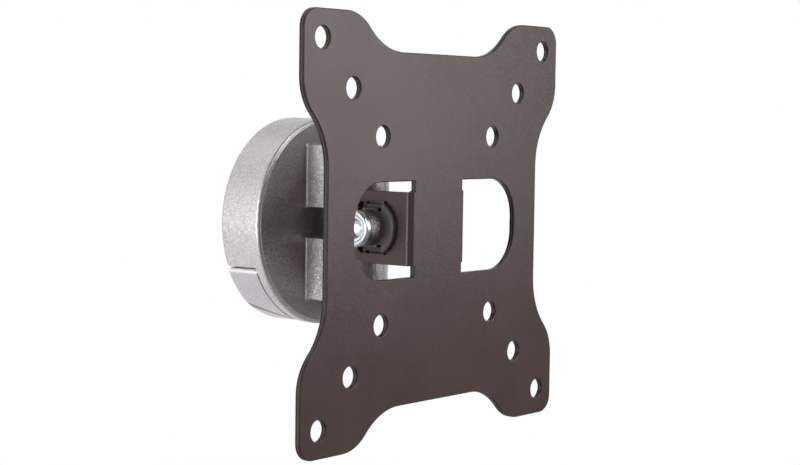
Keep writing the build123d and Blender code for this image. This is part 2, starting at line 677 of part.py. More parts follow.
# set screw in the top of the base, its point in the wall plate's groove
with BuildPart() as top_set_screw:
    with BuildSketch(Plane.XY.offset(set_tip)):
        with Locations((0, -set_out)):
            Circle(SET_R)
    extrude(amount=BASE_R - SET_SUNK - set_tip)
    chamfer(top_set_screw.edges().sort_by(Axis.Z)[0], length=SET_POINT)
    with BuildSketch(Plane.XY.offset(BASE_R - SET_SUNK)):
        with Locations((0, -set_out)):
            RegularPolygon(SET_KEY / 2, 6, major_radius=False)
    extrude(amount=-SET_KEY_DEPTH, mode=Mode.SUBTRACT)
save(top_set_screw, "top_set_screw")

# lock screw, driven upwards through the lug into the block
with BuildPart() as lock_screw:
    with BuildSketch(Plane.XY.offset(lug_z)):
        with Locations((0, -lock_out)):
            Circle(LOCK_HEAD_R)
    extrude(amount=-LOCK_HEAD_H)
    with BuildSketch(Plane.XY.offset(lug_z - LOCK_HEAD_H)):
        with Locations((0, -lock_out)):
            RegularPolygon(LOCK_KEY / 2, 6, major_radius=False)
    extrude(amount=LOCK_KEY_DEPTH, mode=Mode.SUBTRACT)
    with BuildSketch(Plane.XY.offset(lug_z)):
        with Locations((0, -lock_out)):
            Circle(LOCK_R)
    extrude(amount=LUG_T + BLOCK_GAP + LOCK_BITE)
save(lock_screw, "lock_screw")
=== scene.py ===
"""Looks of the monitor wall mount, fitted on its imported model.

Metres, +Z up, the wall on the +Y side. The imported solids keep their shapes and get
their finishes here. The screws, nuts and washers are turned again with their knurls,
threads and chamfers, in millimetres until their meshes are made.
"""
import math
import bpy
import numpy as np
from mathutils import Matrix, Vector


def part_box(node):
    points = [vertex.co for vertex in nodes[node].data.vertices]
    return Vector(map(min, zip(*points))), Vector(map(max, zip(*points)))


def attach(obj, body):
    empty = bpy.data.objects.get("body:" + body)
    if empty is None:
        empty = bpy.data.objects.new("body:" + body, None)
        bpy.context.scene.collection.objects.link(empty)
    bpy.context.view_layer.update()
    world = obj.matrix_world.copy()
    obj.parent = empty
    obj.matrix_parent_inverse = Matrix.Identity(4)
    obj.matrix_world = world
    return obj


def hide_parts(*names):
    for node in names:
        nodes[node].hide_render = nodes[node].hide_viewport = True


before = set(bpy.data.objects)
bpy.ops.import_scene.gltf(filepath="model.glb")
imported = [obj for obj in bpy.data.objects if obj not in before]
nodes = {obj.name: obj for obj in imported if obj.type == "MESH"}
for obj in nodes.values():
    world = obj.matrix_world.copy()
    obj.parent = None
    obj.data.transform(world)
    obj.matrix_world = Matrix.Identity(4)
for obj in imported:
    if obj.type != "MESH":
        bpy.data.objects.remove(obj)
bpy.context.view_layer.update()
MM = 0.001
SHARP = math.radians(32)    # faces that meet at more than this keep a sharp edge


# Shapes

def hexagon(theta, flats):
    """Distance from the centre to a hexagon's side in the direction theta: half the
    width over flats, divided by the cosine of the angle to the nearest side's middle."""
    return flats / 2 / np.cos((theta + np.pi / 6) % (np.pi / 3) - np.pi / 6)


def saw(x):
    """Even zigzag: 0 at whole numbers, 1 halfway between them."""
    return 1 - np.abs(2 * (x % 1) - 1)


def arc_rows(a0, r0, a1, r1, steps, radius_first=True):
    """Quarter ellipse from place a0 and radius r0 to a1 and r1: it starts out along the
    radius, or else along the axis."""
    t = np.linspace(0, np.pi / 2, steps)
    if radius_first:
        return a1 + (a0 - a1) * np.cos(t), r0 + (r1 - r0) * np.sin(t)
    return a0 + (a1 - a0) * np.sin(t), r1 + (r0 - r1) * np.cos(t)


class Section:
    """Rows of a turned surface: each row is a place along the axis and a radius, which
    may differ round the axis."""

    def __init__(self, columns):
        self.theta = np.arange(columns) * (2 * np.pi / columns)
        self.along, self.radius = [], []

    def to(self, along, radius):
        """One more row, both values in millimetres, each a number or one per column."""
        flat = np.zeros_like(self.theta)
        self.along.append(flat + along)
        self.radius.append(flat + radius)
        return self

    def rows(self, along, radius):
        """One more row for each pair of values."""
        for a, r in zip(along, radius):
            self.to(a, r)
        return self


def turned_piece(name, section, centre, axis, poles=True):
    """A grid carried round an axis. The point of row i and column j lies at along[i, j]
    on the axis and radius[i, j] from it, in the direction theta[j]. Both ends close in a
    point, or, for a ring, the last row joins the first."""
    a, r = np.array(section.along) * MM, np.array(section.radius) * MM
    c, s = np.cos(section.theta), np.sin(section.theta)
    if axis == "X":
        grid = np.stack([a, centre[1] + r * c, centre[2] + r * s], axis=2)
    else:
        grid = np.stack([centre[0] + r * c, centre[1] + r * s, a], axis=2)
    rows, columns = r.shape
    points = grid.reshape(-1, 3)
    i, j = np.meshgrid(np.arange(rows - 1 if poles else rows), np.arange(columns), indexing="ij")
    i, j = i.ravel(), j.ravel()
    here, after = i * columns, (i + 1) % rows * columns
    beside = (j + 1) % columns
    quads = np.stack([here + j, after + j, after + beside, here + beside], axis=1)
    fans = np.empty((0, 3), int)
    if poles:
        k, next_k, last_row = np.arange(columns), (np.arange(columns) + 1) % columns, (rows - 1) * columns
        first_pole, last_pole = np.full(columns, len(points)), np.full(columns, len(points) + 1)
        fans = np.vstack([np.stack([first_pole, k, next_k], axis=1),
                          np.stack([last_row + k, last_pole, last_row + next_k], axis=1)])
        points = np.vstack([points, grid[0].mean(0), grid[-1].mean(0)])
    # the volume under the faces tells which way they point
    corners = np.vstack([quads[:, :3], quads[:, [0, 2, 3]], fans])
    p = points - points.mean(0)
    volume = (p[corners[:, 0]] * np.cross(p[corners[:, 1]], p[corners[:, 2]])).sum()
    if volume < 0:
        quads, fans = quads[:, ::-1], fans[:, ::-1]
    mesh = bpy.data.meshes.new(name)
    mesh.from_pydata(points.tolist(), [], quads.tolist() + fans.tolist())
    mesh.validate()
    mesh.shade_smooth()
    mesh.set_sharp_from_angle(angle=SHARP)
    piece = bpy.data.objects.new(name, mesh)
    bpy.context.scene.collection.objects.link(piece)
    return piece


def dress(piece, body, finish, stands_for):
    """Puts the finish on a piece, ties it to its body, and hides the solid that it stands for."""
    piece.data.materials.append(finish)
    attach(piece, body)
    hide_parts(stands_for)


# Shader nodes

def feed(tree, socket, x):
    """Links x to the socket where x is a socket too, and sets it there where it is a value."""
    if isinstance(x, bpy.types.NodeSocket):
        tree.links.new(x, socket)
    else:
        socket.default_value = x


def node(tree, kind, inputs=None, **settings):
    """A new node: settings are its own, and inputs are fed by their names or numbers."""
    made = tree.nodes.new("ShaderNode" + kind)
    for key, value in settings.items():
        setattr(made, key, value)
    for key, x in (inputs or {}).items():
        feed(tree, made.inputs[key], x)
    return made


def placed(tree, group, **inputs):
    """The outputs of a group's node in a material, with its inputs fed."""
    return node(tree, "Group", inputs, node_tree=group).outputs


def math_node(tree, operation, a, b=0.5, clamp=False):
    """The result for a and b, each a socket or a number."""
    return node(tree, "Math", {0: a, 1: b}, operation=operation, use_clamp=clamp).outputs[0]


def product(tree, a, b):
    return math_node(tree, "MULTIPLY", a, b)


def vector_node(tree, operation, a, b=(0, 0, 0)):
    """The vector for a and b, each a socket or a triple."""
    return node(tree, "VectorMath", {0: a, 1: b}, operation=operation).outputs[0]


def likeness(tree, a, b):
    """Cosine of the angle between two directions: 1 where they are the same."""
    return node(tree, "VectorMath", {0: a, 1: b}, operation="DOT_PRODUCT").outputs["Value"]


def length_of(tree, vector, keep):
    """Length of a vector, counting only the coordinates where keep is 1."""
    flat = vector_node(tree, "MULTIPLY", vector, keep)
    return node(tree, "VectorMath", {0: flat}, operation="LENGTH").outputs["Value"]


def parts_of(tree, vector):
    """The three coordinates of a vector."""
    return node(tree, "SeparateXYZ", {0: vector}).outputs


def ramp(tree, value, start, end, low=0.0, high=1.0, soft=False):
    """Goes from low to high while value goes from start to end, and no further."""
    values = {"Value": value, "From Min": start, "From Max": end, "To Min": low, "To Max": high}
    way = "SMOOTHSTEP" if soft else "LINEAR"
    return node(tree, "MapRange", values, interpolation_type=way).outputs["Result"]


def noise(tree, vector, scale, detail, roughness=0.5):
    """Cloudy noise, a value about one half."""
    values = {"Vector": vector, "Scale": scale, "Detail": detail, "Roughness": roughness}
    return node(tree, "TexNoise", values).outputs["Fac"]


def blend_colour(tree, mask, a, b):
    """Colour a where mask is 0 and colour b where it is 1; each a socket or a colour."""
    a, b = ((*x, 1.0) if isinstance(x, tuple) else x for x in (a, b))
    return node(tree, "Mix", {0: mask, 6: a, 7: b}, data_type="RGBA").outputs[2]


def scaled(colour, share):
    return tuple(share * x for x in colour)


def rays(tree):
    """1 for what the camera sees, straight or through glass, and 1 for what is mirrored."""
    path = node(tree, "LightPath").outputs
    seen = math_node(tree, "MAXIMUM", path["Is Camera Ray"], path["Is Transmission Ray"])
    return seen, path["Is Glossy Ray"]


# Effects, each a node group that the finishes place with their own values

def new_group(name, inputs, outputs):
    """An empty group, what it is given and what it puts out. inputs are numbers by name,
    or vectors where the value is None. Of the outputs only Normal is a vector."""
    group = bpy.data.node_groups.new(name, "ShaderNodeTree")
    for label, value in inputs.items():
        kind = "NodeSocketVector" if value is None else "NodeSocketFloat"
        made = group.interface.new_socket(name=label, in_out="INPUT", socket_type=kind)
        if value is not None:
            made.default_value = value
    for label in outputs:
        kind = "NodeSocketVector" if label == "Normal" else "NodeSocketFloat"
        group.interface.new_socket(name=label, in_out="OUTPUT", socket_type=kind)
    return group, group.nodes.new("NodeGroupInput").outputs, group.nodes.new("NodeGroupOutput").inputs


def paint_flakes():
    """Flakes in a paint: cells of one size, each shaded and leaned a little differently."""
    group, given, result = new_group(
        "paint_flakes", {"Vector": None, "Density": 3000.0, "Tilt": 0.3, "Normal": None}, ["Flake", "Normal"])
    cells = {"Vector": given["Vector"], "Scale": given["Density"], "Randomness": 1.0}
    cell = node(group, "TexVoronoi", cells, feature="F1").outputs["Color"]
    centred = vector_node(group, "SUBTRACT", cell, (0.5, 0.5, 0.5))
    lean = node(group, "VectorMath", {0: centred, "Scale": given["Tilt"]}, operation="SCALE").outputs[0]
    leaned = vector_node(group, "ADD", lean, given["Normal"])
    feed(group, result["Flake"], node(group, "SeparateColor", {"Color": cell}).outputs[0])
    feed(group, result["Normal"], vector_node(group, "NORMALIZE", leaned))
    return group


def coat_peel():
    """Orange peel: low soft waves of a sprayed or baked coat, with a finer grain on them."""
    group, given, result = new_group(
        "coat_peel", {"Vector": None, "Density": 900.0, "Grain": 0.35}, ["Height"])
    waves = noise(group, given["Vector"], given["Density"], detail=2.0)
    grain = noise(group, given["Vector"], product(group, given["Density"], 5.0), detail=1.0)
    feed(group, result["Height"], math_node(group, "ADD", waves, product(group, grain, given["Grain"])))
    return group


def handling_clouds():
    """Handling: broad faint clouds that change shine and tone from place to place."""
    group, given, result = new_group(
        "handling_clouds", {"Vector": None, "Density": 45.0, "Low": 0.0, "High": 1.0}, ["Mask", "Value"])
    broad = noise(group, given["Vector"], given["Density"], detail=3.0, roughness=0.55)
    spread = ramp(group, broad, 0.32, 0.68)
    feed(group, result["Mask"], spread)
    feed(group, result["Value"], ramp(group, spread, 0.0, 1.0, given["Low"], given["High"]))
    return group


def edge_rounding():
    """Edges: where the surface turns sharply within the given width, and its rounded normal.
    The finishes paint a highlight or shade along them.
    """
    group, given, result = new_group("edge_rounding", {"Width": 0.0003, "Gain": 3.0}, ["Edge", "Normal"])
    rounded = node(group, "Bevel", {"Radius": given["Width"]}, samples=6).outputs[0]
    plain = node(group, "NewGeometry").outputs["Normal"]
    away = math_node(group, "SUBTRACT", 1.0, likeness(group, rounded, plain))
    feed(group, result["Edge"], math_node(group, "MULTIPLY", away, given["Gain"], clamp=True))
    feed(group, result["Normal"], rounded)
    return group


def turning_rings():
    """Turning marks: fine rings round the Z axis of the coordinates that it gets."""
    group, given, result = new_group("turning_rings", {"Vector": None, "Density": 6000.0}, ["Height"])
    reach = length_of(group, given["Vector"], (1, 1, 0))
    where = node(group, "CombineXYZ", {0: reach, 1: parts_of(group, given["Vector"])[2]}).outputs[0]
    feed(group, result["Height"], noise(group, where, given["Density"], detail=2.0))
    return group


def punched_wall_shading():
    """Punched walls: the sheet's cut edges between its two faces, masked for a painted shade,
    and a line along their middle for a painted highlight."""
    group, given, result = new_group(
        "punched_wall_shading", {"Vector": None, "Normal": None, "Middle": 0.0, "Half": 0.001}, ["Wall", "Line"])
    off = math_node(group, "SUBTRACT", parts_of(group, given["Vector"])[1], given["Middle"])
    share = math_node(group, "DIVIDE", math_node(group, "ABSOLUTE", off), given["Half"])
    inside = math_node(group, "LESS_THAN", share, 1.02)
    frontwards = math_node(group, "ABSOLUTE", parts_of(group, given["Normal"])[1])
    wall = product(group, inside, ramp(group, frontwards, 0.35, 0.85, 1.0, 0.0))
    feed(group, result["Wall"], wall)
    feed(group, result["Line"], product(group, wall, ramp(group, share, 0.08, 0.34, 1.0, 0.0)))
    return group


def bored_hole():
    """A round hole along Z: inside its radius, above the given height."""
    group, given, result = new_group(
        "bored_hole", {"Vector": None, "Centre": None, "Radius": 0.002, "Above": 0.0}, ["Mask"])
    reach = length_of(group, vector_node(group, "SUBTRACT", given["Vector"], given["Centre"]), (1, 1, 0))
    within = math_node(group, "LESS_THAN", reach, given["Radius"])
    over = math_node(group, "GREATER_THAN", parts_of(group, given["Vector"])[2], given["Above"])
    feed(group, result["Mask"], product(group, within, over))
    return group


def band_under_line():
    """Band under a line: a soft band just under a line that drops towards the front, where
    the finishes paint a shadow or a highlight.
    """
    group, given, result = new_group(
        "band_under_line", {"Vector": None, "Height": 0.0, "Slope": 0.0, "Width": 0.0007}, ["Mask"])
    at = parts_of(group, given["Vector"])
    line = math_node(group, "ADD", product(group, at[1], given["Slope"]), given["Height"])
    below = math_node(group, "DIVIDE", math_node(group, "SUBTRACT", line, at[2]), given["Width"])
    rise = ramp(group, below, -0.25, 0.15, soft=True)
    fall = ramp(group, below, 0.5, 1.5, 1.0, 0.0, soft=True)
    feed(group, result["Mask"], product(group, rise, fall))
    return group


def face_shade_mask():
    """Face shade: a painted shade on the flat front of the base, deeper from its rim inwards,
    but not in the band between the ears."""
    group, given, result = new_group("face_shade_mask", {"Vector": None, "Plane": 0.0, "Rim": 0.03}, ["Mask"])
    at = parts_of(group, given["Vector"])
    depth = math_node(group, "ABSOLUTE", math_node(group, "SUBTRACT", at[1], given["Plane"]))
    on_face = math_node(group, "LESS_THAN", depth, 0.00012)
    share = math_node(group, "DIVIDE", length_of(group, given["Vector"], (1, 0, 1)), given["Rim"])
    inwards = ramp(group, share, 0.55, 0.98, 1.0, 0.0)
    by_the_ears = ramp(group, math_node(group, "ABSOLUTE", at[2]), 0.0025, 0.0065, soft=True)
    feed(group, result["Mask"], product(group, on_face, product(group, inwards, by_the_ears)))
    return group


flakes, peel, clouds = paint_flakes(), coat_peel(), handling_clouds()
edges, rings, wall_shading = edge_rounding(), turning_rings(), punched_wall_shading()
bored, line_band, face_shade = bored_hole(), band_under_line(), face_shade_mask()


# Finishes

def new_finish(name):
    """A material, its nodes, its Principled shader and the place on the piece."""
    finish = bpy.data.materials.new(name)
    finish.use_nodes = True
    tree = finish.node_tree
    tree.nodes.clear()
    skin = node(tree, "BsdfPrincipled")
    feed(tree, node(tree, "OutputMaterial").inputs[0], skin.outputs[0])
    return finish, tree, skin, node(tree, "TexCoord").outputs["Object"]


def cover_skin(tree, skin, tone, rough, **relief):
    """Feeds the shader its colour, its roughness and the relief on it."""
    feed(tree, skin.inputs["Base Color"], tone)
    feed(tree, skin.inputs["Roughness"], rough)
    feed(tree, skin.inputs["Normal"], node(tree, "Bump", relief).outputs[0])


def baked_coat(name, dark, light, rough, peel_depth, painted_edge_tone, shine=0.5, sheet=None):
    """Satin powder coat: two near tones in soft clouds, faint specks, orange peel, and edges in
    another tone, painted shade where it is darker and a painted highlight where it is lighter.
    On a sheet, given as its middle along Y and half its thickness, the punched walls get that
    painted tone too, with a painted highlight along their middle."""
    finish, tree, skin, place = new_finish(name)
    cloud = placed(tree, clouds, Vector=place, Density=38.0, Low=rough - 0.025, High=rough + 0.03)
    edge = placed(tree, edges, Width=0.00028, Gain=2.2)
    bumps = placed(tree, peel, Vector=place, Density=1100.0, Grain=0.3)
    specks = placed(tree, flakes, Vector=place, Normal=edge["Normal"], Density=4200.0, Tilt=0.06)
    tone = blend_colour(tree, cloud["Mask"], dark, light)
    tone = blend_colour(tree, product(tree, specks["Flake"], 0.22), tone, scaled(light, 1.5))
    # edges painted in their own tone: painted shade where it is darker, a painted highlight where it is
    # lighter
    tone = blend_colour(tree, product(tree, edge["Edge"], 0.85), tone, painted_edge_tone)
    if sheet:
        # the punched walls in the painted edge tone, painted shade on the plate, and a painted highlight
        # along their middle
        square = node(tree, "TexCoord").outputs["Normal"]
        cut = placed(tree, wall_shading, Vector=place, Normal=square, Middle=sheet[0], Half=sheet[1])
        tone = blend_colour(tree, cut["Wall"], tone, painted_edge_tone)
        tone = blend_colour(tree, cut["Line"], tone, scaled(light, 1.6))
    cover_skin(tree, skin, tone, cloud["Value"],
               Height=bumps["Height"], Normal=specks["Normal"], Strength=0.5, Distance=peel_depth)
    skin.inputs["Specular IOR Level"].default_value = shine
    return finish


def flake_paint(name, shade, bright, metal, rough, density, tilt, peel_depth, places=()):
    """Silver paint: metal flakes in a clear binder, each at its own lean and tone, and edges
    painted lighter, a painted highlight. places lists spots painted in another colour, painted
    shade or a painted highlight: a group, its values, how much of the colour, and it."""
    finish, tree, skin, place = new_finish(name)
    edge = placed(tree, edges, Width=0.0005, Gain=3.0)
    grains = placed(tree, flakes, Vector=place, Normal=edge["Normal"], Density=density, Tilt=tilt)
    cloud = placed(tree, clouds, Vector=place, Density=70.0, Low=rough - 0.03, High=rough + 0.04)
    bumps = placed(tree, peel, Vector=place, Density=1500.0, Grain=0.5)
    tone = blend_colour(tree, grains["Flake"], shade, bright)
    # edges painted lighter: a painted highlight
    tone = blend_colour(tree, product(tree, edge["Edge"], 0.9), tone, scaled(bright, 1.2))
    for group, values, share, colour in places:
        mask = placed(tree, group, Vector=place, **values)["Mask"]
        tone = blend_colour(tree, product(tree, mask, share), tone, colour)
    cover_skin(tree, skin, tone, cloud["Value"],
               Height=bumps["Height"], Normal=grains["Normal"], Strength=0.5, Distance=peel_depth)
    skin.inputs["Metallic"].default_value = metal
    return finish


def plated_metal(name, cool, warm, rough, centre, turn, knurl=None):
    """Plated or bare turned metal: a thin tint that drifts over the surface, and fine
    turning marks round the piece's own axis. knurl gives the two ends of a knurl along X
    and the least radius in it, and there the metal is painted darker in specks, a painted shade."""
    finish, tree, skin, place = new_finish(name)
    tint = placed(tree, clouds, Vector=place, Density=420.0, Low=rough - 0.05, High=rough + 0.08)
    on_axis = node(tree, "Mapping", {"Vector": place, "Location": scaled(centre, -1)}).outputs[0]
    turned = node(tree, "Mapping", {"Vector": on_axis, "Rotation": turn}).outputs[0]
    marks = placed(tree, rings, Vector=turned, Density=5200.0)
    tone = blend_colour(tree, tint["Mask"], cool, warm)
    if knurl:
        start, end, least = knurl
        along = parts_of(tree, place)[0]
        past_start = math_node(tree, "GREATER_THAN", along, start)
        before_end = math_node(tree, "LESS_THAN", along, end)
        far_out = math_node(tree, "GREATER_THAN", length_of(tree, on_axis, (0, 1, 1)), least)
        grip = product(tree, far_out, product(tree, past_start, before_end))
        grains = placed(tree, flakes, Vector=place, Density=3000.0)
        # the knurl painted darker in specks: painted shade
        knurl_shade = math_node(tree, "SUBTRACT", 1.0, product(tree, grains["Flake"], 0.55))
        tone = blend_colour(tree, product(tree, grip, knurl_shade), tone, scaled(cool, 0.16))
    cover_skin(tree, skin, tone, tint["Value"], Height=marks["Height"], Strength=0.6, Distance=0.000006)
    skin.inputs["Metallic"].default_value = 1.0
    return finish


def moulded_plastic(name, tone, dull, rough, face=None):
    """Glass filled plastic: fine spark texture, dulled in faint clouds, edges painted lighter as
    a painted highlight, and painted shade in its slots, deeper than its outer faces, which lie
    at the distance face along X."""
    finish, tree, skin, place = new_finish(name)
    cloud = placed(tree, clouds, Vector=place, Density=160.0, Low=rough - 0.04, High=rough + 0.06)
    edge = placed(tree, edges, Width=0.00015, Gain=2.0)
    bumps = placed(tree, peel, Vector=place, Density=2600.0, Grain=0.7)
    tone = blend_colour(tree, cloud["Mask"], tone, dull)
    # edges painted lighter: a painted highlight
    tone = blend_colour(tree, product(tree, edge["Edge"], 0.25), tone, scaled(dull, 2.2))
    # painted shade in the slots
    if face:
        out_along = math_node(tree, "ABSOLUTE", parts_of(tree, place)[0])
        deep = ramp(tree, out_along, face - 0.0016, face - 0.0003, 0.75, 0.0)
        tone = blend_colour(tree, deep, tone, SLOT_SHADE)
    cover_skin(tree, skin, tone, cloud["Value"],
               Height=bumps["Height"], Normal=edge["Normal"], Strength=0.5, Distance=0.00003)
    return finish


def axis_of(screw):
    """A point on the axis of a packed screw, which lies in the middle of its box."""
    low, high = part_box(screw)
    return 0.0, (low.y + high.y) / 2, 0.0


TILT_AXIS, SWIVEL_AXIS = axis_of("tilt_bolt"), axis_of("swivel_bolt")
LOCK_AXIS, SET_AXIS = axis_of("lock_screw"), axis_of("top_set_screw")
ALONG_X, ALONG_Z = (0, math.pi / 2, 0), (0, 0, 0)      # turns that bring the Z axis onto each

SHEET_HALF = 0.00075                # half the thickness of the screen plate
BASE_FRONT = {"Plane": -0.01385, "Rim": 0.0296}     # place of the base's flat front, and its radius
SET_HOLE = {"Centre": SET_AXIS, "Radius": 0.00216, "Above": 0.026}
# the cover's rounded top edge, with a painted highlight on it, and the grip recess's edge, with a painted
# shadow under it
COVER_TOP_EDGE = {"Height": -0.0128, "Slope": 0.0, "Width": 0.0012}
GRIP_LINE = {"Height": -0.0230, "Slope": 0.4348, "Width": 0.0013}     # it drops by 23.5 degrees
HEAD_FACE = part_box("tilt_bolt")[0].x
KNURL = HEAD_FACE + 0.00172, HEAD_FACE + 0.0061, 0.0046     # both ends, and the least radius
BUSH_BOSS = 0.0011                  # the boss stands this far out of the bush's outer face
BUSH_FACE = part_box("tilt_bush_right")[1].x - BUSH_BOSS
# colours of painted shade: in the set screw's bore and under the grip recess's edge, in the bush slots, and
# on the base's front, browned by a painted reflection of the plate; and of the painted highlight on the
# cover's top edge
SHADE, SLOT_SHADE = (0.085, 0.058, 0.054), (0.008, 0.007, 0.006)
BROWN_SHADE, TOP_EDGE_HIGHLIGHT = (0.27, 0.205, 0.185), (0.98, 0.96, 0.98)
STEEL = (0.20, 0.20, 0.215), (0.30, 0.29, 0.28)         # its cool and its warm tint

plate_coat = baked_coat("plate_coat", (0.070, 0.042, 0.039), (0.077, 0.047, 0.044), rough=0.33,
                        peel_depth=0.00004, painted_edge_tone=(0.016, 0.010, 0.009), shine=0.42,
                        sheet=(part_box("screen_plate")[0].y + SHEET_HALF, SHEET_HALF))
link_coat = baked_coat("link_coat", (0.030, 0.028, 0.028), (0.038, 0.035, 0.034), rough=0.46,
                       peel_depth=0.00006, painted_edge_tone=(0.09, 0.085, 0.082))
silver_paint = flake_paint(
    "silver_paint", (0.57, 0.546, 0.555), (0.86, 0.825, 0.838), metal=0.90, rough=0.44,
    density=3600.0, tilt=0.20, peel_depth=0.000006,
    # painted shade in the set screw's bore, and painted shade on the base's front, browned as a painted
    # reflection of the plate
    places=[(bored, SET_HOLE, 0.95, SHADE), (face_shade, BASE_FRONT, 0.9, BROWN_SHADE)])
cover_paint = flake_paint(
    "cover_paint", (0.60, 0.57, 0.60), (0.77, 0.74, 0.77), metal=0.85, rough=0.36,
    density=3600.0, tilt=0.14, peel_depth=0.00001,
    # a painted shadow under the grip recess's edge, and a painted highlight on the cover's rounded top edge
    places=[(line_band, GRIP_LINE, 0.8, SHADE), (line_band, COVER_TOP_EDGE, 0.9, TOP_EDGE_HIGHLIGHT)])
wall_casting = flake_paint(
    "wall_casting", (0.36, 0.365, 0.375), (0.50, 0.50, 0.51), metal=0.95, rough=0.48,
    density=1500.0, tilt=0.22, peel_depth=0.00009)
tilt_zinc = plated_metal("tilt_zinc", (0.61, 0.67, 0.74), (0.76, 0.77, 0.77), 0.34, TILT_AXIS, ALONG_X, KNURL)
swivel_zinc = plated_metal("swivel_zinc", (0.66, 0.72, 0.80), (0.80, 0.81, 0.81), 0.34, SWIVEL_AXIS, ALONG_Z)
tilt_steel = plated_metal("tilt_steel", *STEEL, 0.38, TILT_AXIS, ALONG_X)
swivel_steel = plated_metal("swivel_steel", *STEEL, 0.38, SWIVEL_AXIS, ALONG_Z)
black_plastic = moulded_plastic("black_plastic", (0.045, 0.039, 0.036), (0.060, 0.052, 0.048), 0.46)
# the bushes' plastic is the black plastic made lighter, painted light for the plate's shade they sit in, with
# painted shade in its slots
lit_bush_plastic = moulded_plastic("lit_bush_plastic", (0.090, 0.073, 0.070), (0.108, 0.088, 0.084), 0.44, BUSH_FACE)

for finish, names in (
        (plate_coat, ["screen_plate"]), (link_coat, ["swivel_link"]), (silver_paint, ["base_housing"]),
        (cover_paint, ["bottom_cover"]), (wall_casting, ["wall_plate"]),
        (lit_bush_plastic, ["tilt_bush_left", "tilt_bush_right"]),
        (black_plastic, ["swivel_bush_upper", "swivel_bush_lower"]),
        (black_plastic, ["friction_ring_left", "friction_ring_right"]),
        (tilt_steel, ["tilt_disc_spring"]), (swivel_steel, ["swivel_disc_spring"])):
    for name in names:
        for held in nodes[name].material_slots:
            held.material = finish


# Screws, nuts and washers

def socket_rows(section, face, away, key, depth, dish=None, dish_depth=0.0):
    """Hexagon socket from its bottom up to the face: drill cone, hexagon wall, chamfer,
    and a shallow dish round it where there is one. away is +1 or -1, into the screw."""
    hexa = hexagon(section.theta, key)
    floor = face + away * dish_depth
    section.to(face + away * (depth + 0.22 * key), 0.02)
    section.to(face + away * depth, 0.80 * key / 2)
    section.to(face + away * (depth - 0.02), hexa - 0.06)
    section.to(face + away * (depth - 0.08), hexa)
    section.to(floor + away * 0.30, hexa)
    section.to(floor + away * 0.15, np.maximum(hexa, key * 0.530))
    section.to(floor, np.maximum(hexa, key * 0.575))
    if dish:
        section.to(floor, dish - dish_depth - 0.06)
        section.to(floor - away * 0.05, dish - dish_depth)
        section.to(face + away * 0.05, dish - 0.02)
        section.to(face, dish + 0.06)


def knurl_rows(section, start, end, radius, ribs, depth, steps):
    """Diamond knurl: radius less the depth of two crossing zigzags, one leaning each
    way, so that small pyramids stand in rows."""
    for t in np.linspace(0, 1, steps):
        a = start + (end - start) * t
        across = section.theta * ribs / (2 * np.pi)
        lean = abs(a - start) * ribs / (2 * np.pi * radius)
        hills = np.minimum(saw(across + lean), saw(across - lean))
        fade = min(1.0, 5 * t, 5 * (1 - t))
        section.to(a, radius - depth * (1 - hills * fade) * min(1.0, 0.25 + fade))


def thread_rows(section, start, end, radius, pitch, fade_in=1.0):
    """Screw thread: the radius falls by 0.61 of the pitch in a helix, one turn a pitch,
    with flats at crest and root, and reaches its depth after fade_in turns."""
    steps = max(8, int(abs(end - start) / pitch * 14))
    for t in np.linspace(0, 1, steps):
        a = start + (end - start) * t
        wave = saw((a - start) / pitch * np.sign(end - start) - section.theta / (2 * np.pi))
        wave = np.clip(1.35 * wave - 0.15, 0, 1)
        run = min(1.0, abs(a - start) / (fade_in * pitch))
        section.to(a, radius - 0.61 * pitch * (1 - wave) * run)


def cap_screw(name, axis, centre, face, tail, thread_from, head_r, head_h, key, key_depth, shank_r, pitch,
              dish=None, dish_depth=0.0, edge=0.7, ribs=84):
    """Socket head cap screw, its rows turned round the axis: socket, face, rounded edge,
    plain band, knurl, underside, shank, thread and point. face is the head's outer face
    and tail the far end of the thread."""
    s = Section(6 * ribs)
    away = 1 if tail > face else -1
    socket_rows(s, face, away, key, key_depth, dish, dish_depth)
    s.to(face, head_r - edge - 0.25)
    s.rows(*arc_rows(face, head_r - edge, face + away * edge, head_r, 9))
    band = face + away * (edge + 0.95)
    s.to(band, head_r)
    s.to(band + away * 0.06, head_r - 0.07)
    under = face + away * head_h
    knurl_rows(s, band + away * 0.12, under - away * 0.45, head_r, ribs, 0.09, 46)
    s.to(under - away * 0.40, head_r - 0.10)
    s.to(under - away * 0.05, head_r - 0.42)
    s.to(under, head_r - 0.50)
    s.to(under, shank_r + 0.25)
    s.to(under + away * 0.02, shank_r + 0.02)
    s.to(under + away * 0.25, shank_r)
    s.to(thread_from - away * 0.01, shank_r)
    thread_rows(s, thread_from, tail - away * 0.45, shank_r, pitch)
    s.to(tail - away * 0.40, shank_r - 0.62 * pitch)
    s.to(tail - away * 0.05, shank_r - 0.95 * pitch)
    s.to(tail, shank_r - 1.05 * pitch)
    s.to(tail, 0.05)
    return turned_piece(name, s, centre, axis)


def hex_nut(name, axis, centre, near, far, flats, bore, corner=None):
    """Hexagon nut, a ring whose outside is the hexagon cut by a 30 degree cone at both
    faces, and by a plain cylinder where corner is given."""
    s = Section(216)
    away = 1 if far > near else -1
    height = abs(far - near)
    hexa = hexagon(s.theta, flats)
    if corner:
        hexa = np.minimum(hexa, corner)
    face_r = 0.475 * flats
    for t in np.concatenate([np.linspace(0, 0.20, 7), [0.30, 0.5, 0.70], np.linspace(0.80, 1, 7)]):
        inside = min(t, 1 - t) * height
        s.to(near + away * t * height, np.minimum(hexa, face_r + inside * math.tan(math.radians(60))))
    s.to(far, bore + 0.45)
    s.to(far - away * 0.42, bore)
    s.to(near + away * 0.42, bore)
    s.to(near, bore + 0.45)
    return turned_piece(name, s, centre, axis, poles=False)


